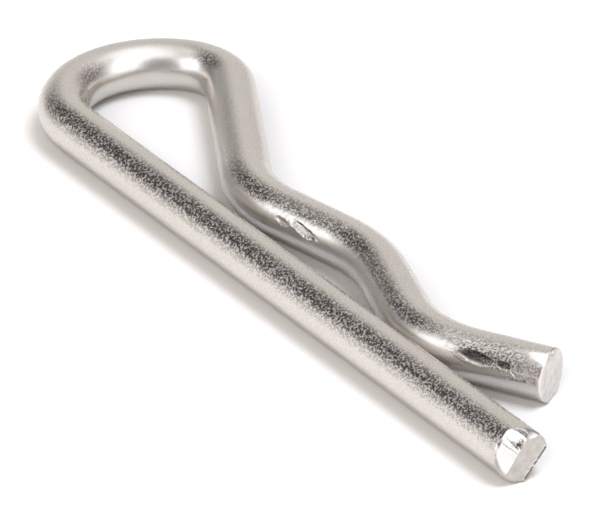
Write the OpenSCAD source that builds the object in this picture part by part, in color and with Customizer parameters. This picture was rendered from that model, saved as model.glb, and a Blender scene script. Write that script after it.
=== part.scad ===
// Hitch R-clip: one round spring wire, bent in a single plane and lying flat on it.
// The straight leg goes through the cross hole of a shaft. The waved leg snaps over
// the outside of the shaft, which then sits between the hump and the straight leg,
// and the bow at the far end is the spring and the finger pull.

/* [Wire] */
// Diameter of the wire
wire_d = 5; // [4:0.1:6]

/* [Straight leg] */
// Length from the start of the bow to the free end
leg_len = 74; // [68:1:90]

/* [Bow] */
// Inside radius of the bow
bow_inside_r = 6.8; // [6:0.1:8]
// Angle that the bow turns through
bow_turn = 137.5; // [130:0.5:145]
// Inside radius of the tighter shoulder that follows the bow
shoulder_inside_r = 3.5; // [2.5:0.1:4.5]

/* [Waved leg] */
// Slope at which the leg comes down from the shoulder
lead_slope = 28; // [24:0.5:32]
// Free space between the legs at the neck before the shaft
neck_gap = 2; // [1:0.1:2.6]
// Inside radius of the bend at the neck
neck_inside_r = 10.4; // [8:0.2:12]
// Slope at which the leg rises on to the hump
rise_slope = 11.4; // [9:0.2:14]
// Free space between the legs under the hump
hump_gap = 4; // [3.4:0.1:5]
// Inside radius of the hump
hump_inside_r = 13; // [11:0.5:15]
// Slope at which the leg falls from the hump
fall_slope = 18.6; // [16:0.2:24]
// Free space between the legs at the throat after the shaft
throat_gap = 0.15; // [0.1:0.05:1]
// Inside radius of the bend at the throat
throat_inside_r = 9.2; // [7:0.2:11]
// Slope of the flared tip
flare_slope = 30; // [24:0.5:36]
// Length of the flared tip
tip_len = 7.4; // [5:0.2:10]

/* [Cropped ends] */
// How far the main bevel of the straight leg runs back along the wire
leg_bevel_len = 1.3; // [0.5:0.1:3]
// Depth of that bevel at the end face
leg_bevel_depth = 1.75; // [0.5:0.05:1.8]
// How far back the crest of that end starts to roll over
leg_roll_len = 0.9; // [0.3:0.1:2]
// How far the crest is rolled down at the end face
leg_roll_depth = 0.8; // [0.2:0.05:1.2]
// How far the small bevel on the far side of that end runs back
leg_nick_len = 1.2; // [0.2:0.1:1.5]
// Depth of the small bevel at the end face
leg_nick_depth = 0.9; // [0.2:0.05:1.2]
// How far the flat on the flared tip runs back
tip_flat_len = 2.7; // [1:0.1:4]
// Depth of that flat at the end face
tip_flat_depth = 0.12; // [0.05:0.01:0.4]

/* [Bending-tool marks] */
// Depth of the two nips beside the neck
nip_depth = 0.22; // [0.1:0.01:0.4]
// Depth of the two dents on the flared tip
dent_depth = 0.3; // [0.1:0.01:0.5]

/* [Hidden] */
$fn = 96;

wire_r = wire_d / 2;
steel = [0.80, 0.78, 0.75];

// Bend radii and heights are measured to the middle of the wire.
bow_r = bow_inside_r + wire_r;
shoulder_r = shoulder_inside_r + wire_r;
neck_r = neck_inside_r + wire_r;
hump_r = hump_inside_r + wire_r;
throat_r = throat_inside_r + wire_r;
neck_y = wire_d + neck_gap;
hump_y = wire_d + hump_gap;
throat_y = wire_d + throat_gap;

// A station is a point on the wire's middle line: [x, y, heading].
// The route starts at the free end of the straight leg and ends at the flared tip.
function ahead(at, run) = [at[0] + run * cos(at[2]), at[1] + run * sin(at[2]), at[2]];
function centre(at, radius, turn) =
    [at[0] - sign(turn) * radius * sin(at[2]), at[1] + sign(turn) * radius * cos(at[2])];
function turned(at, radius, turn) =
    let (c = centre(at, radius, turn), heading = at[2] + turn)
    [c[0] + sign(turn) * radius * sin(heading), c[1] - sign(turn) * radius * cos(heading), heading];

// Straight run that joins two bends at the heights y_from and y_to, on the given slope.
function run_between(y_from, y_to, slope, radii) =
    (abs(y_from - y_to) - radii * (1 - cos(slope))) / sin(slope);

shoulder_turn = 180 + lead_slope - bow_turn;
neck_turn = lead_slope + rise_slope;
hump_turn = rise_slope + fall_slope;
throat_turn = fall_slope + flare_slope;

leg_end = [leg_len, 0, 180];
bow_start = ahead(leg_end, leg_len);
shoulder_start = turned(bow_start, bow_r, -bow_turn);
lead_start = turned(shoulder_start, shoulder_r, -shoulder_turn);
neck_start = ahead(lead_start, run_between(lead_start[1], neck_y, lead_slope, neck_r));
rise_start = turned(neck_start, neck_r, neck_turn);
hump_start = ahead(rise_start, run_between(neck_y, hump_y, rise_slope, neck_r + hump_r));
fall_start = turned(hump_start, hump_r, -hump_turn);
throat_start = ahead(fall_start, run_between(hump_y, throat_y, fall_slope, hump_r + throat_r));
tip_start = turned(throat_start, throat_r, throat_turn);
tip_end = ahead(tip_start, tip_len);

// Sides of the wire that the crops and the tool marks are on, in degrees from the top.
leg_bevel_side = 53;
leg_roll_side = -6;
tip_flat_side = 28;
nip_side = 68;
dent_side = 62;
// Places of the marks, from the start of the straight stretch that they are on.
small_nip_at = 2.3;
long_nip_at = 4.8;
long_dent_at = 0.9;
small_dent_at = 3.7;
small_ball_r = 2;
large_ball_r = 5;

// The clip lies on the ground with its box centred on the origin.
x_middle = (leg_len - bow_r - wire_r) / 2;
y_top = centre(shoulder_start, shoulder_r, -shoulder_turn)[1] + shoulder_r + wire_r;
y_middle = (y_top - wire_r) / 2;

// Moves children from the origin, heading along +X, to a station.
module place(at) {
    translate([at[0], at[1], 0]) rotate([0, 0, at[2]]) children();
}

// Straight stretch of wire between two stations.
module straight(from, to) {
    place(from) rotate([0, 90, 0]) cylinder(r = wire_r, h = norm([to[0] - from[0], to[1] - from[1]]));
}

// Bent stretch of wire from a station. A positive turn goes left.
module bend(from, radius, turn) {
    c = centre(from, radius, turn);
    translate([c[0], c[1], 0])
        rotate([0, 0, from[2] - sign(turn) * 90 + min(turn, 0)])
            rotate_extrude(angle = abs(turn)) translate([radius, 0]) circle(r = wire_r);
}

// Wedge that bevels an end of the wire. The station heads out of the wire, and the bevel
// faces the side that lies `side` degrees to the right of the top.
module bevel(at, side, run_back, depth) {
    place(at) rotate([side, 0, 0]) translate([0, 0, wire_r - depth])
        rotate([0, atan2(depth, run_back), 0])
            translate([-wire_d, -wire_d, 0]) cube([2 * wire_d, 2 * wire_d, wire_d]);
}

// Nose of a round tool that leaves a dent in the side of the wire. Only its tip is kept,
// so it stays clear of the other leg.
module dent(at, side, ball_r, depth) {
    place(at) rotate([side, 0, 0]) translate([0, 0, wire_r]) intersection() {
        translate([0, 0, ball_r - depth]) sphere(r = ball_r);
        cube([2 * ball_r, 2 * ball_r, 2 * depth], center = true);
    }
}

// The bent wire, with square ends and no marks.
module bent_wire() {
    straight(leg_end, bow_start);
    bend(bow_start, bow_r, -bow_turn);
    bend(shoulder_start, shoulder_r, -shoulder_turn);
    straight(lead_start, neck_start);
    bend(neck_start, neck_r, neck_turn);
    straight(rise_start, hump_start);
    bend(hump_start, hump_r, -hump_turn);
    straight(fall_start, throat_start);
    bend(throat_start, throat_r, throat_turn);
    straight(tip_start, tip_end);
}

// What the cropping shear took off the two ends, or rolled down.
module crop_cuts() {
    leg_face = ahead([0, 0, 0], leg_len);
    bevel(leg_face, leg_bevel_side, leg_bevel_len, leg_bevel_depth);
    bevel(leg_face, leg_roll_side, leg_roll_len, leg_roll_depth);
    bevel(leg_face, leg_bevel_side + 180, leg_nick_len, leg_nick_depth);
    bevel(tip_end, tip_flat_side, tip_flat_len, tip_flat_depth);
}

// What the bending tool pressed into the inner side of the waved leg.
module tool_dents() {
    dent(ahead(rise_start, small_nip_at), nip_side, small_ball_r, nip_depth);
    dent(ahead(rise_start, long_nip_at), nip_side, large_ball_r, nip_depth);
    dent(ahead(tip_start, long_dent_at), dent_side, large_ball_r, dent_depth);
    dent(ahead(tip_start, small_dent_at), dent_side, small_ball_r, dent_depth);
}

module r_clip() {
    color(steel) translate([-x_middle, -y_middle, wire_r]) difference() {
        bent_wire();
        crop_cuts();
        tool_dents();
    }
}

r_clip();
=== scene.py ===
"""Hitch R-clip in bent spring wire: the wire, its steel skin, the studio and the camera.

Lengths are in millimetres up to the point where they reach Blender, which works in metres, and
the names of lengths in metres end in _M. The route runs from the free end of the straight leg
round the bow to the tip. Places round the wire are given in degrees from the left of the route,
by way of the top.
"""
from math import atan2, cos, degrees, hypot, pi, radians, sin, tan

import bmesh
import bpy
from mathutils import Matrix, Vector, noise


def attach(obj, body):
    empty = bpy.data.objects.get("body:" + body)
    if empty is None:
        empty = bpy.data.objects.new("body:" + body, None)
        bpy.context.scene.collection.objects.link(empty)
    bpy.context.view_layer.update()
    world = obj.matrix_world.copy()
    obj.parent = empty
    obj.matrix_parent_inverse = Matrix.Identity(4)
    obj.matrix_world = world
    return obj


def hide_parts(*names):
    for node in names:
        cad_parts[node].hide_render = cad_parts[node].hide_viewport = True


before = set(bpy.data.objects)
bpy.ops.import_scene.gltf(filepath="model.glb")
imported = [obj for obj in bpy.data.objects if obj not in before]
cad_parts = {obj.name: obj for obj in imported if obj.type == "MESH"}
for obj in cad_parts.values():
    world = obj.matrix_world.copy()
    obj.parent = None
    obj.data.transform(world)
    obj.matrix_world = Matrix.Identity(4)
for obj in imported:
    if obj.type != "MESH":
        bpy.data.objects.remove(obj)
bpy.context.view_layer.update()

MM = 0.001

# ---------------------------------------------------------------- the clip's own sizes
WIRE_D = 5.0
WIRE_R = WIRE_D / 2
LEG_LEN = 74.0
BOW_TURN = 137.5
LEAD_SLOPE = 28.0
RISE_SLOPE = 11.4
FALL_SLOPE = 18.6
FLARE_SLOPE = 30.0
TIP_LEN = 7.4
# Radii of the wire's middle line, each from the inside radius of its bend.
BOW_R = 6.8 + WIRE_R
SHOULDER_R = 3.5 + WIRE_R
NECK_R = 10.4 + WIRE_R
HUMP_R = 13.0 + WIRE_R
THROAT_R = 9.2 + WIRE_R
# Distances between the middle lines of the legs, each from the free gap between them.
NECK_Y = WIRE_D + 2.0
HUMP_Y = WIRE_D + 4.0
THROAT_Y = WIRE_D + 0.15

# ---------------------------------------------------------------- the cropped ends
# A crease across a face is given by the side it looks to and its distance from the wire's middle.
BEVEL_SIDE = 37.0
BEVEL_CHORD = WIRE_R - 1.75
BEVEL_LEN = 1.3
NICK_SIDE = 221.0
NICK_CHORD = WIRE_R - 0.9
NICK_LEN = 1.2
BURR = 0.09
BURR_WIDTH = 0.30
# How steep the main bevel is beside an even slope: along its middle, more for each mm across it, and
# more again towards its upper side.
BEVEL_STEEP = 0.84
BEVEL_TWIST = 0.08
BEVEL_DROP = 0.65
# The rim of the straight leg's face is rolled over most at its crest and at its keel.
CREST_SIDE = 107.0
CREST_ROLL = 0.66
CREST_BEFORE = 28.0
CREST_AFTER = 42.0
KEEL_SIDE = 315.0
KEEL_ROLL = 0.42
KEEL_SPREAD = 100.0
# No roll of that rim reaches further back than this.
ROLL_REACH = 2 * CREST_ROLL
# How far the smeared lip and the worn crest of that rim stand back.
LIP_SETBACK = 0.02
CREST_SETBACK = 0.03
# Face of the flared tip: how far it stands back, its pressed rim's width and steepness, the depth
# of its torn crest, and the height of its burr.
TIP_SETBACK = 0.05
TIP_RIM = 0.26
TIP_RIM_STEEP = 0.9
TIP_TEAR = 0.12
TIP_BURR = 0.16
# Small pressed flat beside that face, and the depths where its painted highlight starts and where it is full.
FLAT_SIDE = 118.0
FLAT_LEN = 2.7
FLAT_DEPTH = 0.12
FLAT_LEAN = 6.0
FLAT_DULL = 0.012
FLAT_PAINTED_SHINE = 0.042
# Rounding that every rim has, the band inside it that is worn back and painted with highlights and shade, and
# the length of wire that takes up a crop.
RIM_ROUND = 0.07
RIM_BAND = 0.09
END_REACH = 4.0
# Unevenness of the cropped faces.
FACE_WAVE = 0.03
FACE_WAVE_PITCH = 0.8

# ---------------------------------------------------------------- finishes, held by the mesh as one number, with painted shade and highlights among them
# The torn finish is painted near black as shade, and the bright one is partly burnished metal and partly a
# painted highlight.
TORN_AND_SHADE, SKIN, CUT, BRIGHT = -1.0, 0.0, 0.5, 1.0

# ---------------------------------------------------------------- fineness of the mesh
AROUND = 192
STEP_STRAIGHT = 1.5
STEP_BEND = 0.6
STEP_FINE = 0.14
# Two stretches that tool marks reach have finer steps than the others of their kind.
STEPS = {"rise": STEP_FINE, "throat": STEP_BEND / 2}
CAP_RINGS = 28
# How many times the faces of a mark are halved.
MARK_CUTS = 2
MERGE_WITHIN_M = 1e-7
SMOOTH_ANGLE = 35.0
# A point further out than ON_ROUND is on the round of the wire, and one past OFF_WIRE is off the wire.
ON_ROUND = 0.98 * WIRE_R
OFF_WIRE = 1.02 * WIRE_R
# How far a point may lie past the end of a stretch, and a mesh face off an end's plane, and still count.
END_SLACK = 1e-4
FACE_SLACK = 0.1 * RIM_ROUND


# ---------------------------------------------------------------- route of the wire
def hand(turn):
    """1 for a bend to the left and -1 for one to the right."""
    return 1 if turn > 0 else -1


class Station:
    """A point on the wire's middle line, with the heading of the route there."""

    def __init__(self, x, y, heading):
        self.x, self.y, self.heading = x, y, heading

    def ahead(self, run):
        """The station that far straight on."""
        angle = radians(self.heading)
        return Station(self.x + run * cos(angle), self.y + run * sin(angle), self.heading)

    def centre(self, radius, turn):
        """Centre of a bend that starts here."""
        reach, angle = hand(turn) * radius, radians(self.heading)
        return self.x - reach * sin(angle), self.y + reach * cos(angle)

    def turned(self, radius, turn):
        """The station at the end of that bend."""
        cx, cy = self.centre(radius, turn)
        reach, angle = hand(turn) * radius, radians(self.heading + turn)
        return Station(cx + reach * sin(angle), cy - reach * cos(angle), self.heading + turn)


class Stretch:
    """One straight or bent length of the route, which knows where a point lies along and beside it."""

    def __init__(self, name, start, s_start, run=0.0, radius=0.0, turn=0.0):
        self.name, self.start, self.s_start = name, start, s_start
        self.radius, self.turn = radius, turn
        self.length = radians(abs(turn)) * radius if turn else run
        self.end = start.turned(radius, turn) if turn else start.ahead(run)

    def locate(self, x, y):
        """(length along this stretch, offset to the left) of a point, or None if it is past its ends."""
        if not self.turn:
            angle = radians(self.start.heading)
            dx, dy = x - self.start.x, y - self.start.y
            along, left = dx * cos(angle) + dy * sin(angle), dy * cos(angle) - dx * sin(angle)
        else:
            cx, cy = self.start.centre(self.radius, self.turn)
            swept = hand(self.turn) * (atan2(y - cy, x - cx) - atan2(self.start.y - cy, self.start.x - cx))
            # A bend across the jump of atan2, at half a turn, comes out a whole turn short.
            if swept < -pi / 2:
                swept += 2 * pi
            along = swept * self.radius
            left = hand(self.turn) * (self.radius - hypot(x - cx, y - cy))
        if -END_SLACK <= along <= self.length + END_SLACK and abs(left) < OFF_WIRE:
            return along, left
        return None

    def place(self, along, left, up):
        """The point at that length along the stretch, offset to the left and above the middle line."""
        if self.turn:
            at = self.start.turned(self.radius, hand(self.turn) * degrees(along / self.radius))
        else:
            at = self.start.ahead(along)
        angle = radians(at.heading)
        return at.x - left * sin(angle), at.y + left * cos(angle), up


def run_between(y_from, y_to, slope, radii):
    """Straight run that joins two bends at those heights, on that slope."""
    return (abs(y_from - y_to) - radii * (1 - cos(radians(slope)))) / sin(radians(slope))


def lay_route():
    """The stretches of the wire, in order, each starting where the last one ends."""
    route = []

    def add(name, **form):
        """Adds the stretch that follows the last one."""
        start = route[-1].end if route else Station(LEG_LEN, 0.0, 180.0)
        s_start = route[-1].s_start + route[-1].length if route else 0.0
        route.append(Stretch(name, start, s_start, **form))

    add("leg", run=LEG_LEN)
    add("bow", radius=BOW_R, turn=-BOW_TURN)
    add("shoulder", radius=SHOULDER_R, turn=BOW_TURN - 180 - LEAD_SLOPE)
    add("lead", run=run_between(route[-1].end.y, NECK_Y, LEAD_SLOPE, NECK_R))
    add("neck", radius=NECK_R, turn=LEAD_SLOPE + RISE_SLOPE)
    add("rise", run=run_between(NECK_Y, HUMP_Y, RISE_SLOPE, NECK_R + HUMP_R))
    add("hump", radius=HUMP_R, turn=-(RISE_SLOPE + FALL_SLOPE))
    add("fall", run=run_between(HUMP_Y, THROAT_Y, FALL_SLOPE, HUMP_R + THROAT_R))
    add("throat", radius=THROAT_R, turn=FALL_SLOPE + FLARE_SLOPE)
    add("tip", run=TIP_LEN)
    return route


ROUTE = lay_route()
BY_NAME = {stretch.name: stretch for stretch in ROUTE}
LEG, RISE, TIP = BY_NAME["leg"], BY_NAME["rise"], BY_NAME["tip"]
MARKED = [RISE, BY_NAME["throat"], TIP]
# The clip lies on the ground with its box centred on the origin.
X_MIDDLE = (LEG_LEN - BOW_R - WIRE_R) / 2
Y_TOP = BY_NAME["shoulder"].start.centre(SHOULDER_R, -1)[1] + SHOULDER_R + WIRE_R
Y_MIDDLE = (Y_TOP - WIRE_R) / 2


def to_row(x, y, z=0.0):
    """A point of the route's plane, z above the middle line, in the part's own frame and in metres."""
    return Vector(((x - X_MIDDLE) * MM, (y - Y_MIDDLE) * MM, (z + WIRE_R) * MM))


def from_row(co):
    """The other way round: (x, y, height above the middle line) of a point in the part's own frame."""
    return co.x / MM + X_MIDDLE, co.y / MM + Y_MIDDLE, co.z / MM - WIRE_R


def wire_place(stretches, point):
    """(stretch, length along it, offset left, height) of a point of the mesh, or None if it is elsewhere."""
    x, y, up = from_row(point)
    for stretch in stretches:
        found = stretch.locate(x, y)
        if found:
            return stretch, found[0], found[1], up
    return None


# ---------------------------------------------------------------- curves that the fine detail is made of
def held(value):
    """The value held between 0 and 1."""
    return min(1.0, max(0.0, value))


def smooth_step(value):
    """The value held between 0 and 1, with an easy start and end."""
    t = held(value)
    return t * t * (3 - 2 * t)


def grown(value, start, full):
    """0 on one side of the start, 1 past the place where it is full, and smooth between."""
    return smooth_step((value - start) / (full - start))


def hill(value, top=0.0, spread=1.0):
    """1 at its top, falling smoothly to nothing that far away on either side."""
    return smooth_step(1 - abs(value - top) / spread)


def tent(value, top, spread):
    """The same with straight sides."""
    return max(0.0, 1 - abs(value - top) / spread)


def ripple(x, y, seed, pitch):
    """Smooth uneven wave between about -1 and 1, with features of that pitch in mm."""
    return noise.noise(Vector((x / pitch, y / pitch, seed)))


def patchy(x, y, seed, pitch, fill, sharp):
    """Broken cover between 0 and 1. fill says how much of it there is, and sharp how hard its edges are."""
    return smooth_step(fill + sharp * ripple(x, y, seed, pitch))


def polar(left, up):
    """(distance from the middle line, degrees round the wire) of a point of the wire's section."""
    return hypot(left, up), degrees(atan2(up, left)) % 360


def towards(side, left, up):
    """(distance out that way, distance across it) of a point of the wire's section."""
    angle = radians(side)
    return left * cos(angle) + up * sin(angle), up * cos(angle) - left * sin(angle)


def apart(turn, side):
    """Degrees from one place round the wire to another, the short way."""
    return (turn - side + 180) % 360 - 180


def near(turn, side, spread):
    """1 at that side of the wire, falling smoothly to nothing as many degrees away as it spreads."""
    return hill(apart(turn, side), spread=spread)


# ---------------------------------------------------------------- face of the straight leg
def rim_size(turn):
    """How far the rim of the leg's face is rolled over there."""
    crest = apart(turn, CREST_SIDE)
    crest_roll = CREST_ROLL * hill(crest, spread=CREST_BEFORE if crest < 0 else CREST_AFTER)
    return RIM_ROUND + crest_roll + KEEL_ROLL * near(turn, KEEL_SIDE, KEEL_SPREAD)


def blade_marks(out, across):
    """(share, depth, darkness) at a point of the main bevel, for each mark that the shear's blade left. The
    darkness is painted shade.
    """
    scar_line = 0.13 * out - 0.06 + 0.04 * ripple(out, 0, seed=5.0, pitch=0.3)
    scar = hill(across, top=scar_line, spread=0.08) * grown(out, start=2.3, full=1.8)
    score = hill(across, top=0.36 * out + 0.07, spread=0.07) * grown(out, start=0.9, full=1.2)
    from_pit = hypot((out - 0.95) / 0.38, (across - 0.80) / 0.52)
    dig = hill(from_pit + 0.9 * ripple(out, across, seed=8.0, pitch=0.17))
    rubbed = hill(out, top=1.3, spread=0.5) * hill(across, top=0.65, spread=0.3)
    smear = rubbed * (0.55 + ripple(out, across, seed=9.0, pitch=0.16))
    notch = hill(out, top=2.36, spread=0.14) * hill(across, top=0.02, spread=0.62)
    return (
        (scar, 0.05, 0.8),
        (score, 0.03, 0.5),
        (dig, 0.11, 0.9),
        (smear, 0.06, 1.1),
        (notch, 0.10, 0.8),
    )


def bevel_face(out, across):
    """(setback, darkness) over the main bevel, which falls away faster on its upper side. The darkness is
    painted shade in the blade's marks.
    """
    steep = BEVEL_STEEP + BEVEL_TWIST * across + BEVEL_DROP * grown(across, start=0.7, full=1.9)
    slope = BEVEL_LEN / (WIRE_R - BEVEL_CHORD) * steep
    marks = blade_marks(out, across)
    depth = sum(share * deep for share, deep, _ in marks)
    darkness = sum(share * dark for share, _, dark in marks)
    return slope * (out - BEVEL_CHORD) + depth, min(1.0, darkness)


def burr_line(beyond, along):
    """(height, darkness) of the thin burr on the edge between the face and the small bevel. The darkness is
    its painted shadow.
    """
    off_edge = abs(beyond - NICK_CHORD + 0.09 * ripple(along, 0, seed=18.0, pitch=0.3))
    ridge = held(2 - 2 * off_edge / BURR_WIDTH)
    height = BURR * ridge * min(1.0, 1.1 + ripple(along, 0, seed=15.0, pitch=0.16))
    return height, 0.9 * ridge * patchy(along, 0, seed=12.0, pitch=0.3, fill=0.95, sharp=1.5)


def leg_face(left, up):
    """(setback behind the end's plane, finish) over the cropped face of the straight leg."""
    from_middle, turn = polar(left, up)
    rim_edge = WIRE_R - rim_size(turn)
    at_rim = grown(from_middle, start=rim_edge - RIM_BAND, full=rim_edge)
    out, across = towards(BEVEL_SIDE, left, up)
    beyond, along = towards(NICK_SIDE, left, up)
    setback = BURR + FACE_WAVE * ripple(left, up, seed=3.0, pitch=FACE_WAVE_PITCH)
    if out > BEVEL_CHORD:
        drop, darkness = bevel_face(out, across)
        # The bevel is painted bright, partly as a highlight, and its blade marks and the dark line along its
        # lip are painted shade.
        wear_and_paint = patchy(left, up, seed=5.0, pitch=0.25, fill=0.9, sharp=1.5)
        lip = at_rim * wear_and_paint * near(turn, side=92, spread=14)
        setback += drop + LIP_SETBACK * lip
        finish = BRIGHT - (BRIGHT - TORN_AND_SHADE) * min(1.0, darkness + lip)
    else:
        wear_and_paint = patchy(left, up, seed=33.0, pitch=0.35, fill=0.2, sharp=2.4)
        # The crest and the flecks on the rim are painted bright, as highlights and glints.
        crest = at_rim * near(turn, side=119, spread=16)
        painted_glint = at_rim * wear_and_paint * near(turn, side=252, spread=70)
        setback += CREST_SETBACK * crest
        finish = CUT + (BRIGHT - CUT) * max(crest, painted_glint)
    if beyond > NICK_CHORD:
        setback += NICK_LEN / (WIRE_R - NICK_CHORD) * (beyond - NICK_CHORD)
    # The burr's dark line is painted shadow.
    burr, darkness = burr_line(beyond, along)
    return max(0.0, setback - burr), finish - (finish - TORN_AND_SHADE) * darkness


def on_face(along):
    """Whether a point that far along the straight leg is on its end face, before the crop."""
    return along < 0.5 * RIM_ROUND


def crop_leg(along, left, up):
    """(length along the leg, finish) of a point near its end, once it is cropped."""
    out, turn = polar(left, up)
    roll = rim_size(turn)
    inwards = 1.0 if on_face(along) else (WIRE_R - roll) / out
    setback, finish = leg_face(left * inwards, up * inwards)
    if not on_face(along):
        rolled = grown(roll, start=2 * RIM_ROUND, full=2 * RIM_ROUND + 0.2)
        finish = CUT * rolled * grown(along, start=1.4 * roll, full=0.9 * roll)
    return setback + along * (1 - setback / END_REACH), finish


# ---------------------------------------------------------------- face of the flared tip
def tip_face(left, up):
    """(setback, finish) over the tip's face, cut square, with a pressed left rim painted bright as a
    highlight and a torn crest painted dark as shade.
    """
    out, turn = polar(left, up)
    pressed = near(turn, side=180, spread=75)
    rim = max(0.0, out - (WIRE_R - TIP_RIM * pressed)) * min(1.0, 3 * pressed)
    crest = near(turn, side=92, spread=36) * grown(out, start=1.7, full=2.0)
    torn_and_shade = crest * patchy(left, up, seed=24.0, pitch=0.2, fill=0.5, sharp=2.2)
    burr = near(turn, side=245, spread=18) * grown(out, start=2.2, full=2.45)
    setback = TIP_SETBACK + FACE_WAVE * ripple(left, up, seed=21.0, pitch=FACE_WAVE_PITCH)
    # The pressed rim is a painted highlight, and the torn crest is painted shade.
    finish = BRIGHT if rim > 0.01 else (CUT + BRIGHT) / 2 - 1.1 * torn_and_shade
    return setback + TIP_RIM_STEEP * rim + TIP_TEAR * torn_and_shade - TIP_BURR * burr, finish


def flat_press(to_end, turn):
    """Depth of the small flat beside the tip's face, with that length left to the end."""
    if to_end > FLAT_LEN:
        return 0.0
    depth = FLAT_DEPTH * (1 - to_end / FLAT_LEN)
    lean = FLAT_LEAN * to_end / FLAT_LEN
    reach = (WIRE_R - depth) / max(0.1, cos(radians(turn - FLAT_SIDE + lean)))
    return max(0.0, WIRE_R - reach)


# ---------------------------------------------------------------- marks of the bending tools
# Degrees round the wire that count as 1 mm in the unevenness of a mark, of its floor and of a scuff.
MARK_DEGREES = 20
FLOOR_DEGREES = 12
SCUFF_DEGREES = 23


class Mark:
    """A hollow that a bending tool pressed into the waved leg.

    It lies at a length along its stretch and at a side of the wire, and leans against the route.
    keel says where its deepest line lies between its upper edge, 0, and its lower edge, 1. The wall above the
    line that dark names, between 0 and 1 too, is painted dark as shade, and the wall below it may carry a
    painted highlight.
    """

    # Both in half sizes of the mark: how far its lip and its ragged edge reach, and how far from its
    # middle a point is still close to it, lengthways and across.
    REACH = 1.8
    CLOSE = (1.3, 1.5)

    def __init__(self, stretch, along, side, half_len, half_width, depth, lean=0.0, keel=0.5,
                 ragged=0.1, lip=0.0, dark=0.0, shine=0.0, torn_and_shade=1.0):
        self.arc, self.side, self.lean = stretch.s_start + along, side, radians(lean)
        self.half_len, self.half_width, self.depth = half_len, half_width, depth
        self.keel, self.ragged, self.lip = keel, ragged, lip
        self.dark, self.shine, self.torn_and_shade = dark, shine, torn_and_shade

    def find(self, arc, turn):
        """Place of a point within the mark, lengthways and across, each -1 to 1 at its edges."""
        ahead, over = arc - self.arc, WIRE_R * radians(turn - self.side)
        along = (ahead * cos(self.lean) + over * sin(self.lean)) / self.half_len
        across = (over * cos(self.lean) - ahead * sin(self.lean)) / self.half_width
        return along, across

    def is_close(self, arc, turn):
        """Whether a point of the round of the wire lies in the mark or close to it."""
        return all(abs(place) < limit for place, limit in zip(self.find(arc, turn), self.CLOSE))

    def press(self, arc, turn):
        """(how deep the surface lies below the round of the wire, less than 0 on the lip, finish with its
        painted shade and highlight).
        """
        along, across = self.find(arc, turn)
        if max(abs(along), abs(across)) > self.REACH:
            return 0.0, SKIN
        over = turn / MARK_DEGREES
        t = (across + 1) / 2
        from_keel = (t - self.keel) / (self.keel if t < self.keel else 1 - self.keel)
        reach = hypot(along, from_keel) + self.ragged * ripple(arc, over, seed=self.arc, pitch=0.35)
        floor = self.depth * (1 - reach ** 2) if reach < 1 else 0.0
        crumpled = 1 + 0.5 * self.ragged * ripple(arc, turn / FLOOR_DEGREES, seed=31.0, pitch=0.15)
        roll = self.lip * tent(reach, top=1.12, spread=0.3) * grown(across, start=-0.5, full=0.5)
        within = grown(reach, start=1.05, full=0.71)
        above = grown(t, start=self.dark + 0.12, full=self.dark - 0.12) if self.dark else 0.0
        shade_patches = 0.8 + 0.2 * patchy(arc, over, seed=7.0, pitch=0.14, fill=0.5, sharp=2.0)
        smear = self.shine * patchy(arc, over, seed=13.0, pitch=0.22, fill=0.6, sharp=2.2)
        # The wall above the dark line is painted shade, and the wall below it a painted highlight.
        finish = TORN_AND_SHADE * self.torn_and_shade * shade_patches * within * above + smear * within * (1 - above)
        return floor * crumpled - roll, finish


MARKS = [
    Mark(RISE, along=1.95, side=159.5, half_len=0.95, half_width=0.36, depth=0.05, lean=9,
         keel=0.4, ragged=0.35, dark=0.5, shine=0.5, torn_and_shade=0.4),
    Mark(RISE, along=4.75, side=158.0, half_len=1.85, half_width=0.47, depth=0.13, lean=12,
         keel=0.25, ragged=0.25, lip=0.03, dark=0.3, shine=0.9, torn_and_shade=0.5),
    Mark(RISE, along=5.85, side=165.0, half_len=0.5, half_width=0.25, depth=0.08, lean=15,
         keel=0.5, ragged=0.3, dark=0.7, torn_and_shade=0.6),
    Mark(TIP, along=0.95, side=149.5, half_len=1.75, half_width=0.60, depth=0.30, lean=5,
         keel=0.45, ragged=0.12, lip=0.05, dark=0.84),
    Mark(TIP, along=3.65, side=152.5, half_len=0.85, half_width=0.40, depth=0.16, lean=10,
         keel=0.4, ragged=0.3, lip=0.03, dark=0.85),
    Mark(TIP, along=4.75, side=163.0, half_len=0.55, half_width=0.12, depth=0.05, lean=40,
         keel=0.3, ragged=0.2, lip=0.05),
]

# Where the bending tool rubbed the tip, and how dark its specks are painted, as the shade in its rubbed
# grain.
SCUFF_AT = TIP.s_start + 2.2
SCUFF_REACH = 5.5
SCUFF_SIDE = 133.0
SCUFF_SPREAD = 40.0
SCUFF_PAINTED_DARK = 0.8 * TORN_AND_SHADE

# How much of the drawn wire's grain the forming tools left, place by place along the route: the
# stretch, the share of its length, the height above the ground where the grain begins, its strength.
GRAIN = [
    (BY_NAME[name].s_start + share * BY_NAME[name].length, begins, strength)
    for name, share, begins, strength in (
        ("leg", 0.96, 2.1, 1.0),
        ("bow", 0.18, 2.7, 1.0),
        ("bow", 0.42, 3.3, 0.6),
        ("bow", 0.62, 3.45, 0.2),
        ("shoulder", 0.1, 3.5, 0.2),
        ("shoulder", 0.4, 3.7, 0.6),
        ("lead", 0.2, 4.0, 0.3),
        ("lead", 0.8, 3.9, 0.45),
        ("neck", 0.5, 3.6, 1.0),
        ("rise", 0.5, 3.5, 1.0),
        ("fall", 0.5, 3.7, 1.0),
        ("throat", 0.5, 3.95, 1.0),
        ("tip", 0.05, 4.0, 1.0),
        ("tip", 0.25, 3.1, 1.0),
        ("tip", 0.6, 2.2, 1.0),
    )
]
GRAIN_FADE = 0.65


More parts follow.
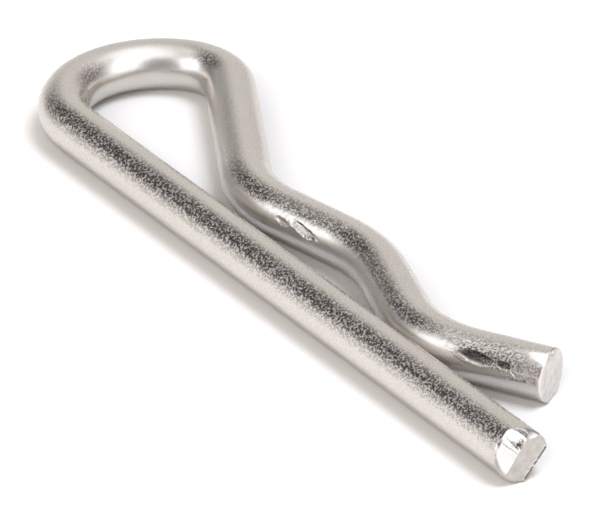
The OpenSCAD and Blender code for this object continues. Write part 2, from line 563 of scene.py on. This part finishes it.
def grain_left(arc, up):
    """Strength of the grain at a length along the route and a height above the middle line."""
    before = max((row for row in GRAIN if row[0] <= arc), default=GRAIN[0])
    after = min((row for row in GRAIN if row[0] > arc), default=GRAIN[-1])
    run = after[0] - before[0]
    share = (arc - before[0]) / run if run > 0 else 0.0
    begins, strength = (before[item] + share * (after[item] - before[item]) for item in (1, 2))
    return strength * held((up + WIRE_R - begins) / GRAIN_FADE)


def scuff_speck_shade(arc, turn):
    """Finish where the bending tool rubbed the tip: small specks painted dark, as the shade in its rubbed
    grain.
    """
    rubbed = near(turn, SCUFF_SIDE, SCUFF_SPREAD) * hill(arc, top=SCUFF_AT, spread=SCUFF_REACH)
    specks = patchy(arc, turn / SCUFF_DEGREES, seed=17.0, pitch=0.16, fill=0.3, sharp=3.2)
    return SCUFF_PAINTED_DARK * min(1.0, 2 * rubbed) * specks


def press_waved(stretch, along, left, up):
    """(length along the stretch, offset left, height, finish) of a point, once it is pressed and cropped."""
    out, turn = polar(left, up)
    press, finish = 0.0, SKIN
    if out > ON_ROUND:
        arc = stretch.s_start + along
        pressed = [mark.press(arc, turn) for mark in MARKS]
        press = max((depth for depth, _ in pressed), key=abs)
        finish = max((wear_and_paint for _, wear_and_paint in pressed), key=abs)
        finish = min(finish, scuff_speck_shade(arc, turn)) if finish <= SKIN else finish
    if stretch is TIP:
        to_end = TIP.length - along
        flat = flat_press(to_end, turn) * out / WIRE_R
        press += flat
        if to_end < END_REACH:
            setback, cut = tip_face(left, up)
            along = TIP.length - setback - to_end * (1 - setback / END_REACH)
            finish = finish if out > ON_ROUND else cut
        # The pressed flat is painted bright as a highlight.
        if out > ON_ROUND:
            finish += BRIGHT * grown(flat, start=FLAT_DULL, full=FLAT_PAINTED_SHINE)
    kept = 1 - press / max(out, 0.01)
    return along, left * kept, up * kept, finish


# ---------------------------------------------------------------- modelling the bent wire
def deselect_all():
    """Leaves edit mode and selects nothing."""
    if bpy.context.mode != "OBJECT":
        bpy.ops.object.mode_set(mode="OBJECT")
    bpy.ops.object.select_all(action="DESELECT")


def extrude_run(start, run, step):
    """Carries the selected ring straight on in even steps."""
    steps = round(run / step)
    angle = radians(start.heading)
    move = (run / steps * cos(angle) * MM, run / steps * sin(angle) * MM, 0)
    for _ in range(steps):
        bpy.ops.mesh.extrude_region_move(TRANSFORM_OT_translate={"value": move})


def spin_bend(stretch, step):
    """Carries the selected ring round a bend. The operator counts its angle clockwise."""
    centre = to_row(*stretch.start.centre(stretch.radius, stretch.turn))
    steps = round(stretch.length / step)
    bpy.ops.mesh.spin(steps=steps, angle=radians(-stretch.turn), center=centre, axis=(0, 0, 1))


def close_end(at, outward):
    """Rounds the rim of the selected end ring and closes it with rings towards its middle."""
    inner = 1 - RIM_ROUND / WIRE_R
    cap = at.ahead(RIM_ROUND * outward)
    bpy.ops.mesh.extrude_region_move()
    bpy.ops.transform.resize(value=(inner, inner, inner), center_override=to_row(at.x, at.y))
    bpy.ops.transform.translate(value=((cap.x - at.x) * MM, (cap.y - at.y) * MM, 0))
    for ring in range(CAP_RINGS, 1, -1):
        shrink = (ring - 1) / ring
        bpy.ops.mesh.extrude_region_move()
        bpy.ops.transform.resize(value=(shrink, shrink, shrink), center_override=to_row(cap.x, cap.y))
    bpy.ops.mesh.merge(type="CENTER")


def select_open_ring(wire, at):
    """Selects only the open ring of edges at that station."""
    bpy.ops.mesh.select_all(action="DESELECT")
    centre, reach = to_row(at.x, at.y), OFF_WIRE * MM
    mesh = bmesh.from_edit_mesh(wire.data)
    for edge in mesh.edges:
        if edge.is_boundary and all((vert.co - centre).length < reach for vert in edge.verts):
            edge.select_set(True)
    bmesh.update_edit_mesh(wire.data)


def close_to_mark(stretch, along, left, up):
    """Whether a point is on the round of the wire, in a mark or close to one."""
    out, turn = polar(left, up)
    return out >= ON_ROUND and any(mark.is_close(stretch.s_start + along, turn) for mark in MARKS)


def refine_marks(wire):
    """Divides the faces of the marks and lays the new points on the round of the wire."""
    for _ in range(MARK_CUTS):
        bpy.ops.mesh.select_all(action="DESELECT")
        mesh = bmesh.from_edit_mesh(wire.data)
        for face in mesh.faces:
            at = wire_place(MARKED, face.calc_center_median())
            if at and close_to_mark(*at):
                face.select_set(True)
        bmesh.update_edit_mesh(wire.data)
        before = len(mesh.verts)
        bpy.ops.mesh.subdivide(number_cuts=1)
        mesh = bmesh.from_edit_mesh(wire.data)
        mesh.verts.ensure_lookup_table()
        for vert in mesh.verts[before:]:
            stretch, along, left, up = wire_place(MARKED, vert.co)
            outwards = WIRE_R / hypot(left, up)
            vert.co = to_row(*stretch.place(along, left * outwards, up * outwards))
        bmesh.update_edit_mesh(wire.data)


def roll_rim(wire):
    """Rolls the rim of the straight leg's end over, while the face is still flat."""
    mesh = bmesh.from_edit_mesh(wire.data)
    for vert in mesh.verts:
        at = wire_place([LEG], vert.co)
        if not at or at[1] > ROLL_REACH:
            continue
        along, left, up = at[1:]
        size = rim_size(polar(left, up)[1])
        if on_face(along):
            kept = (WIRE_R - size) / (WIRE_R - RIM_ROUND)
        else:
            kept = 1 - (size - (size ** 2 - max(0.0, size - along) ** 2) ** 0.5) / WIRE_R
        vert.co = to_row(*LEG.place(along, left * kept, up * kept))
    bmesh.update_edit_mesh(wire.data)


def score_face(wire, end, side, chord):
    """Scores an end face along a chord, so that a crease of the crop falls on edges."""
    bpy.ops.mesh.select_all(action="DESELECT")
    mesh = bmesh.from_edit_mesh(wire.data)
    centre = to_row(end.x, end.y)
    heading, angle = radians(end.heading), radians(side)
    ahead = Vector((cos(heading), sin(heading), 0))
    for face in mesh.faces:
        middle = face.calc_center_median() - centre
        if middle.length < OFF_WIRE * MM and abs(middle.dot(ahead)) < FACE_SLACK * MM:
            face.select_set(True)
    bmesh.update_edit_mesh(wire.data)
    outward = Vector((-sin(heading) * cos(angle), cos(heading) * cos(angle), sin(angle)))
    bpy.ops.mesh.bisect(plane_co=centre + outward * chord * MM, plane_no=outward)


def crop_and_mark(wire):
    """Crops the two ends and presses the tool marks in, and notes each point's finish, painted shade and
    highlights included, and its grain.
    """
    finishes = [SKIN] * len(wire.data.vertices)
    grains = [0.0] * len(wire.data.vertices)
    for vert in wire.data.vertices:
        at = wire_place(ROUTE, vert.co)
        if not at:
            continue
        stretch, along, left, up = at
        grains[vert.index] = grain_left(stretch.s_start + along, up)
        if stretch is LEG and along <= END_REACH:
            along, finishes[vert.index] = crop_leg(along, left, up)
        elif stretch in MARKED:
            along, left, up, finishes[vert.index] = press_waved(stretch, along, left, up)
        else:
            continue
        vert.co = to_row(*stretch.place(along, left, up))
    for name, values in (("finish_and_painted_tone", finishes), ("grain", grains)):
        wire.data.attributes.new(name, "FLOAT", "POINT").data.foreach_set("value", values)


def bend_wire():
    """The whole wire from one circle, extruded along its straights and spun round its bends."""
    deselect_all()
    leg_ring, tip_ring = LEG.start.ahead(RIM_ROUND), TIP.end.ahead(-RIM_ROUND)
    bpy.ops.mesh.primitive_circle_add(
        vertices=AROUND, radius=WIRE_R * MM, location=to_row(leg_ring.x, leg_ring.y), rotation=(0, pi / 2, 0)
    )
    wire = bpy.context.active_object
    wire.name = "bent_wire"
    bpy.ops.object.transform_apply(location=True, rotation=True, scale=True)
    bpy.ops.object.mode_set(mode="EDIT")
    bpy.ops.mesh.select_mode(type="EDGE")
    bpy.ops.mesh.select_all(action="SELECT")
    extrude_run(LEG.start, END_REACH - RIM_ROUND, STEP_FINE)
    extrude_run(LEG.start, LEG.length - END_REACH, STEP_STRAIGHT)
    for stretch in ROUTE[1:-1]:
        if stretch.turn:
            spin_bend(stretch, STEPS.get(stretch.name, STEP_BEND))
        else:
            extrude_run(stretch.start, stretch.length, STEPS.get(stretch.name, STEP_STRAIGHT))
    extrude_run(TIP.start, TIP.length - RIM_ROUND, STEP_FINE)
    close_end(tip_ring, outward=1)
    select_open_ring(wire, leg_ring)
    close_end(leg_ring, outward=-1)
    bpy.ops.mesh.select_all(action="SELECT")
    bpy.ops.mesh.remove_doubles(threshold=MERGE_WITHIN_M)
    bpy.ops.mesh.normals_make_consistent(inside=False)
    bpy.ops.mesh.select_mode(type="FACE")
    refine_marks(wire)
    roll_rim(wire)
    score_face(wire, LEG.start, BEVEL_SIDE, BEVEL_CHORD)
    # The edge of the small bevel, the foot of the burr inside it, and the line where the burr is full.
    for burr_share in (0.0, 1.0, 0.5):
        score_face(wire, LEG.start, NICK_SIDE, NICK_CHORD - burr_share * BURR_WIDTH)
    bpy.ops.object.mode_set(mode="OBJECT")
    crop_and_mark(wire)
    return wire


# ---------------------------------------------------------------- making materials
class Sum:
    """A node's output that takes part in arithmetic. Each operator adds the Math node it stands for."""

    def __init__(self, skin, socket):
        self.skin, self.socket = skin, socket

    def math(self, operation, first, second):
        """Adds the Math node of that operation."""
        return self.skin.node("ShaderNodeMath", {"operation": operation}, sockets={0: first, 1: second})

    def __add__(self, other):
        return self.math("ADD", self, other)

    def __radd__(self, other):
        return self.math("ADD", other, self)

    def __sub__(self, other):
        return self.math("SUBTRACT", self, other)

    def __rsub__(self, other):
        return self.math("SUBTRACT", other, self)

    def __mul__(self, other):
        return self.math("MULTIPLY", self, other)

    def __rmul__(self, other):
        return self.math("MULTIPLY", other, self)

    def __truediv__(self, other):
        return self.math("DIVIDE", self, other)

    def __rtruediv__(self, other):
        return self.math("DIVIDE", other, self)

    def size(self):
        """The value without its sign."""
        return self.math("ABSOLUTE", self, 0.0)

    def limited(self):
        """The value held between 0 and 1."""
        return self.math("MINIMUM", self.math("MAXIMUM", self, 0.0), 1.0)

    def sharper(self, contrast, middle=0.5):
        """The value with more contrast and a half moved to that middle, held between 0 and 1."""
        return ((self - 0.5) * contrast + middle).limited()

    def between(self, low, high):
        """low where the value is 0, high where it is 1, and in step between."""
        return low + (high - low) * self


class Skin:
    """The nodes of a material or of the world, under construction."""

    def __init__(self, owner):
        self.owner = owner
        owner.use_nodes = True
        self.tree = owner.node_tree
        self.tree.nodes.clear()

    def node(self, kind, settings=None, output=0, sockets=None):
        """Adds a node: its settings first, then the values or links of its sockets, by name or place."""
        node = self.tree.nodes.new(kind)
        for setting, value in (settings or {}).items():
            setattr(node, setting, value)
        for socket, value in (sockets or {}).items():
            if isinstance(value, Sum):
                self.tree.links.new(value.socket, node.inputs[socket])
            else:
                node.inputs[socket].default_value = value
        return Sum(self, node.outputs[output]) if node.outputs else None

    def place(self):
        """Where the surface is, on the piece's own object."""
        return self.node("ShaderNodeTexCoord", output="Object")

    def part(self, vector, axis):
        """One coordinate of a place."""
        return self.node("ShaderNodeSeparateXYZ", output=axis, sockets={"Vector": vector})

    def noise(self, place, scale, detail, roughness):
        """Smooth noise between 0 and 1 with so many features to the metre."""
        sockets = {"Vector": place, "Scale": scale, "Detail": detail, "Roughness": roughness}
        return self.node("ShaderNodeTexNoise", sockets=sockets)

    def noted(self, attribute):
        """A value that the mesh holds at each of its points."""
        return self.node("ShaderNodeAttribute", {"attribute_name": attribute}, output="Fac")

    def ray(self, kind):
        """1 for the rays of that kind, such as Camera or Glossy."""
        return self.node("ShaderNodeLightPath", output=f"Is {kind} Ray")

    def mix(self, factor, first, second):
        """A colour between two others. A Mix node takes its colours at 6 and 7 and gives one at 2."""
        sockets = {0: factor, 6: first, 7: second}
        return self.node("ShaderNodeMix", {"data_type": "RGBA"}, output=2, sockets=sockets)

    def finish(self, shader):
        """Gives the owner that shader, and returns the owner."""
        kind = "World" if isinstance(self.owner, bpy.types.World) else "Material"
        self.node(f"ShaderNodeOutput{kind}", sockets={"Surface": shader})
        return self.owner


# ---------------------------------------------------------------- the steel
# How many features of each pattern there are to the metre.
SPECKS_PER_M = 4600.0
PEEL_PER_M = 2080.0
MOTTLE_PER_M = 1500.0
PATCHES_PER_M = 260.0
# Contrast of the mottling and of the dull specks, and what a half of the noise becomes in the specks.
MOTTLE_CONTRAST = 3.0
SPECK_CONTRAST = 6.0
SPECK_MIDDLE = 0.25
# Height of the grain, the orange peel's height beside it, and the shares of both that are left where
# the wire is pressed smooth and where it is cut.
GRAIN_DEPTH_M = 0.0000112
PEEL_SHARE = 0.8
DEPTH_PRESSED = 0.4
DEPTH_CUT = 0.15
# How strongly the patches, the specks of smooth wire and those of grainy wire change its colour.
PATCH_TONE = 0.5
SMOOTH_TONE = 0.8
GRAIN_TONE = 3.2
DRAWN_DARK = (0.655, 0.620, 0.576, 1)
DRAWN_LIGHT = (0.770, 0.727, 0.681, 1)
CROPPED_DARK = (0.50, 0.468, 0.438, 1)
CROPPED_LIGHT = (0.63, 0.593, 0.557, 1)
# Burnished metal, painted pale as a highlight, and near black painted as shade where the steel is torn.
BURNISHED_AND_HIGHLIGHT_DARK = (0.76, 0.742, 0.72, 1)
BURNISHED_AND_HIGHLIGHT_LIGHT = (0.90, 0.885, 0.865, 1)
TORN_AND_SHADE_COLOUR = (0.05, 0.045, 0.043, 1)
# Roughness of the drawn wire, and what each other state of it adds. Burnished metal is less metallic, so that
# its pale colour shows as a painted highlight.
ROUGH = 0.14
ROUGH_PRESSED = 0.08
ROUGH_WAVED = 0.09
ROUGH_PATCHES = 0.05
ROUGH_SPECKS = 0.34
ROUGH_CUT = 0.22
ROUGH_BRIGHT = 0.12
METAL_BRIGHT = 0.5


def steel_skin():
    """Drawn spring steel: fine dull specks and orange peel, bare metal where the wire was cropped, painted
    shade where it is torn, and burnished metal painted pale as a highlight.
    """
    skin = Skin(bpy.data.materials.new("spring_steel"))
    place = skin.place()
    fine = skin.noise(place, SPECKS_PER_M, detail=1.0, roughness=0.6)
    peel = skin.noise(place, PEEL_PER_M, detail=1.0, roughness=0.5)
    patches = skin.noise(place, PATCHES_PER_M, detail=2.0, roughness=0.5)
    mottle = skin.noise(place, MOTTLE_PER_M, detail=3.0, roughness=0.6).sharper(MOTTLE_CONTRAST)

    finish_tone, grain = skin.noted("finish_and_painted_tone"), skin.noted("grain")
    # Masks of the painted shade, of the cut metal, and of the burnished metal with its painted highlight.
    torn_and_shade = (finish_tone / TORN_AND_SHADE).limited()
    cut = (finish_tone / CUT).limited()
    bright = ((finish_tone - CUT) / (BRIGHT - CUT)).limited()
    waved = ((skin.part(place, "Y") - to_row(0, WIRE_R).y) / MM).limited()

    tone = ((patches - 0.5) * PATCH_TONE + (fine - 0.5) * (SMOOTH_TONE + GRAIN_TONE * grain) + 0.5).limited()
    drawn = skin.mix(tone, DRAWN_DARK, DRAWN_LIGHT)
    cropped = skin.mix(mottle, CROPPED_DARK, CROPPED_LIGHT)
    burnished_and_highlight = skin.mix(mottle, BURNISHED_AND_HIGHLIGHT_DARK, BURNISHED_AND_HIGHLIGHT_LIGHT)
    steel = skin.mix(bright, skin.mix(cut, drawn, cropped), burnished_and_highlight)

    specks = fine.sharper(SPECK_CONTRAST, SPECK_MIDDLE) * (1.0 - cut) * grain
    pressed = (ROUGH_PRESSED + ROUGH_WAVED * waved) * (1.0 - grain)
    worked = ROUGH_PATCHES * patches + ROUGH_SPECKS * specks + ROUGH_CUT * cut + ROUGH_BRIGHT * bright
    height = (fine + peel * PEEL_SHARE) * cut.between(1.0, DEPTH_CUT) * grain.between(DEPTH_PRESSED, 1.0)
    bump = {"Strength": 1.0, "Distance": GRAIN_DEPTH_M, "Height": height}
    return skin.finish(skin.node("ShaderNodeBsdfPrincipled", sockets={
        "Base Color": skin.mix(torn_and_shade, steel, TORN_AND_SHADE_COLOUR),
        "Metallic": bright.between(1.0, METAL_BRIGHT),
        "Roughness": ROUGH + pressed + worked,
        "Normal": skin.node("ShaderNodeBump", sockets=bump),
    }))


# ---------------------------------------------------------------- studio
# The camera stands that far from its target, a point of the route's plane, and that way from it.
CAMERA_AZIMUTH = 326.69
CAMERA_ELEVATION = 28.476
CAMERA_DISTANCE = 525.8
CAMERA_TARGET = (33.58, 3.42)
CAMERA_SIGHT_M = (0.01, 20.0)
LENS = 343.77
SENSOR = 36.0

# The lamps light the clip and the floor, and only the steel sees the cards.
LAMP_AWAY_M = 0.9
KEY_COLOUR = (0.945, 0.98, 1.055)
FILL_COLOUR = (1.0, 0.945, 0.885)
WHITE_CARD = (0.96, 0.985, 1.03, 1)
DARK_CARD = (1.0, 0.91, 0.95, 1)

# The floor is a little brighter to the camera than its colour and the lamps make it.
FLOOR_RADIUS_M = 3.0
FLOOR_SIDES = 96
FLOOR_COLOUR = (0.93, 0.93, 0.93, 1)
FLOOR_GLOW = 0.12
FLOOR_GLOW_COLOUR = (1.0, 0.9, 0.84, 1)

# The world as light on the clip and the floor, and as the backdrop that the steel mirrors. The camera
# sees that backdrop at full strength.
AMBIENT = 0.39
AMBIENT_COLOUR = (1.0, 0.932, 0.878, 1)
BACKDROP = 0.78
BACKDROP_COLOUR = (1.0, 0.975, 0.95, 1)


def direction(azimuth, elevation):
    """Unit vector for an azimuth counted from +X towards +Y and an elevation above the floor."""
    round_z, above = radians(azimuth), radians(elevation)
    return Vector((cos(above) * cos(round_z), cos(above) * sin(round_z), sin(above)))


def facing(outlook):
    """Turn of a camera, lamp or card that stands that way and looks back."""
    return outlook.to_track_quat("Z", "Y").to_euler()


def span(angle, away):
    """Width that fills that angle at that distance."""
    return 2 * away * tan(radians(angle / 2))


def set_camera():
    """The camera, with a long lens."""
    outlook = direction(CAMERA_AZIMUTH, CAMERA_ELEVATION)
    data = bpy.data.cameras.new("camera")
    data.lens = LENS
    data.sensor_width = SENSOR
    data.clip_start, data.clip_end = CAMERA_SIGHT_M
    camera = bpy.data.objects.new("camera", data)
    camera.location = to_row(*CAMERA_TARGET) + outlook * CAMERA_DISTANCE * MM
    camera.rotation_euler = facing(outlook)
    bpy.context.collection.objects.link(camera)
    bpy.context.scene.camera = camera


def lamp(name, azimuth, elevation, wide, tall, light, colour):
    """Area lamp facing the clip, in degrees as the clip sees it, that lights paper by that share of white."""
    outlook = direction(azimuth, elevation)
    data = bpy.data.lights.new(name, "AREA")
    data.color = colour
    data.shape = "RECTANGLE"
    data.size, data.size_y = span(wide, LAMP_AWAY_M), span(tall, LAMP_AWAY_M)
    data.energy = light * pi ** 2 * LAMP_AWAY_M ** 2 / sin(radians(elevation))
    source = bpy.data.objects.new(name, data)
    source.location = outlook * LAMP_AWAY_M
    source.rotation_euler = facing(outlook)
    source.visible_camera = False
    source.visible_glossy = False
    bpy.context.collection.objects.link(source)


def card_skin(name, tone, fade):
    """Plain card whose edges fade out, as they do out of focus. Only a white card is brighter than 1."""
    skin = Skin(bpy.data.materials.new(name))
    place = skin.place()
    edges = [((0.5 - skin.part(place, axis).size()) / fade).limited() for axis in ("X", "Y")]
    colour = WHITE_CARD if tone > 1 else DARK_CARD
    paper = skin.node("ShaderNodeEmission", sockets={"Color": colour, "Strength": tone})
    clear = skin.node("ShaderNodeBsdfTransparent")
    return skin.finish(skin.node("ShaderNodeMixShader", sockets={0: edges[0] * edges[1], 1: clear, 2: paper}))


def card(name, azimuth, elevation, wide, tall, tone, fade=0.2, away=1.6, seen_from=(0, 0)):
    """White or dark card that only the steel sees.

    Its place and size are in degrees, and its distance in metres, as seen from a point of the clip.
    """
    outlook = direction(azimuth, elevation)
    deselect_all()
    bpy.ops.mesh.primitive_plane_add(size=1.0)
    sheet = bpy.context.active_object
    sheet.name = name
    sheet.scale = (span(wide, away), span(tall, away), 1)
    sheet.location = to_row(*seen_from) + outlook * away
    sheet.rotation_euler = facing(outlook)
    sheet.data.materials.append(card_skin(name, tone, fade))
    sheet.visible_camera = False
    sheet.visible_diffuse = False
    sheet.visible_shadow = False


def lay_floor():
    """White paper that shows the clip's shadow, with a little glow that only the camera sees."""
    deselect_all()
    bpy.ops.mesh.primitive_circle_add(vertices=FLOOR_SIDES, radius=FLOOR_RADIUS_M, fill_type="NGON")
    floor = bpy.context.active_object
    floor.name = "white_floor"
    skin = Skin(bpy.data.materials.new("white_floor"))
    paper = skin.node("ShaderNodeBsdfDiffuse", sockets={"Color": FLOOR_COLOUR})
    strength = FLOOR_GLOW * skin.ray("Camera")
    glow = skin.node("ShaderNodeEmission", sockets={"Color": FLOOR_GLOW_COLOUR, "Strength": strength})
    floor.data.materials.append(skin.finish(skin.node("ShaderNodeAddShader", sockets={0: paper, 1: glow})))


def light_world():
    """Even light from all round, and the pale backdrop that the camera and the steel see."""
    world = bpy.data.worlds.new("studio")
    bpy.context.scene.world = world
    skin = Skin(world)
    camera = skin.ray("Camera")
    mirrored = (skin.ray("Glossy") + skin.ray("Transmission")).limited()
    colour = skin.mix((mirrored + camera).limited(), AMBIENT_COLOUR, BACKDROP_COLOUR)
    strength = mirrored.between(AMBIENT, BACKDROP) + camera * (1.0 - AMBIENT)
    skin.finish(skin.node("ShaderNodeBackground", sockets={"Color": colour, "Strength": strength}))


bpy.context.scene.view_settings.view_transform = "Standard"
bpy.context.scene.cycles.caustics_reflective = False
set_camera()
light_world()
lay_floor()
lamp("key_lamp", azimuth=35, elevation=69, wide=31, tall=31, light=0.60, colour=KEY_COLOUR)
lamp("fill_lamp", azimuth=298, elevation=30, wide=44, tall=34, light=0.39, colour=FILL_COLOUR)
card("white_card_left", azimuth=263, elevation=28, wide=72, tall=60, tone=2.15, fade=0.25)
card("white_card_right", azimuth=24, elevation=34, wide=56, tall=80, tone=2.1)
card("white_card_top", azimuth=35, elevation=80, wide=80, tall=40, tone=1.6)
card("dark_card_behind_left", azimuth=197, elevation=36.5, wide=77, tall=58, tone=0.08, fade=0.34,
     away=1.5)
card("dark_card_low", azimuth=193, elevation=15, wide=38, tall=30, tone=0.16, fade=0.4, away=1.45)
card("white_card_high", azimuth=211, elevation=68, wide=36, tall=8, tone=2.0, fade=0.35, away=1.4)
card("dark_card_behind_right", azimuth=88, elevation=20, wide=70, tall=64, tone=0.28, fade=0.3, away=1.5)
card("dark_card_camera", azimuth=328, elevation=22, wide=64, tall=66, tone=0.32, fade=0.28, away=1.5)
card("dark_card_near_tip", azimuth=283, elevation=22, wide=42, tall=80, tone=0.40, fade=0.15, away=0.1,
     seen_from=(60, 7))

wire = bend_wire()
wire.data.materials.append(steel_skin())
deselect_all()
wire.select_set(True)
bpy.context.view_layer.objects.active = wire
bpy.ops.object.shade_smooth_by_angle(angle=radians(SMOOTH_ANGLE))
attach(wire, "root")
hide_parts("r_clip")
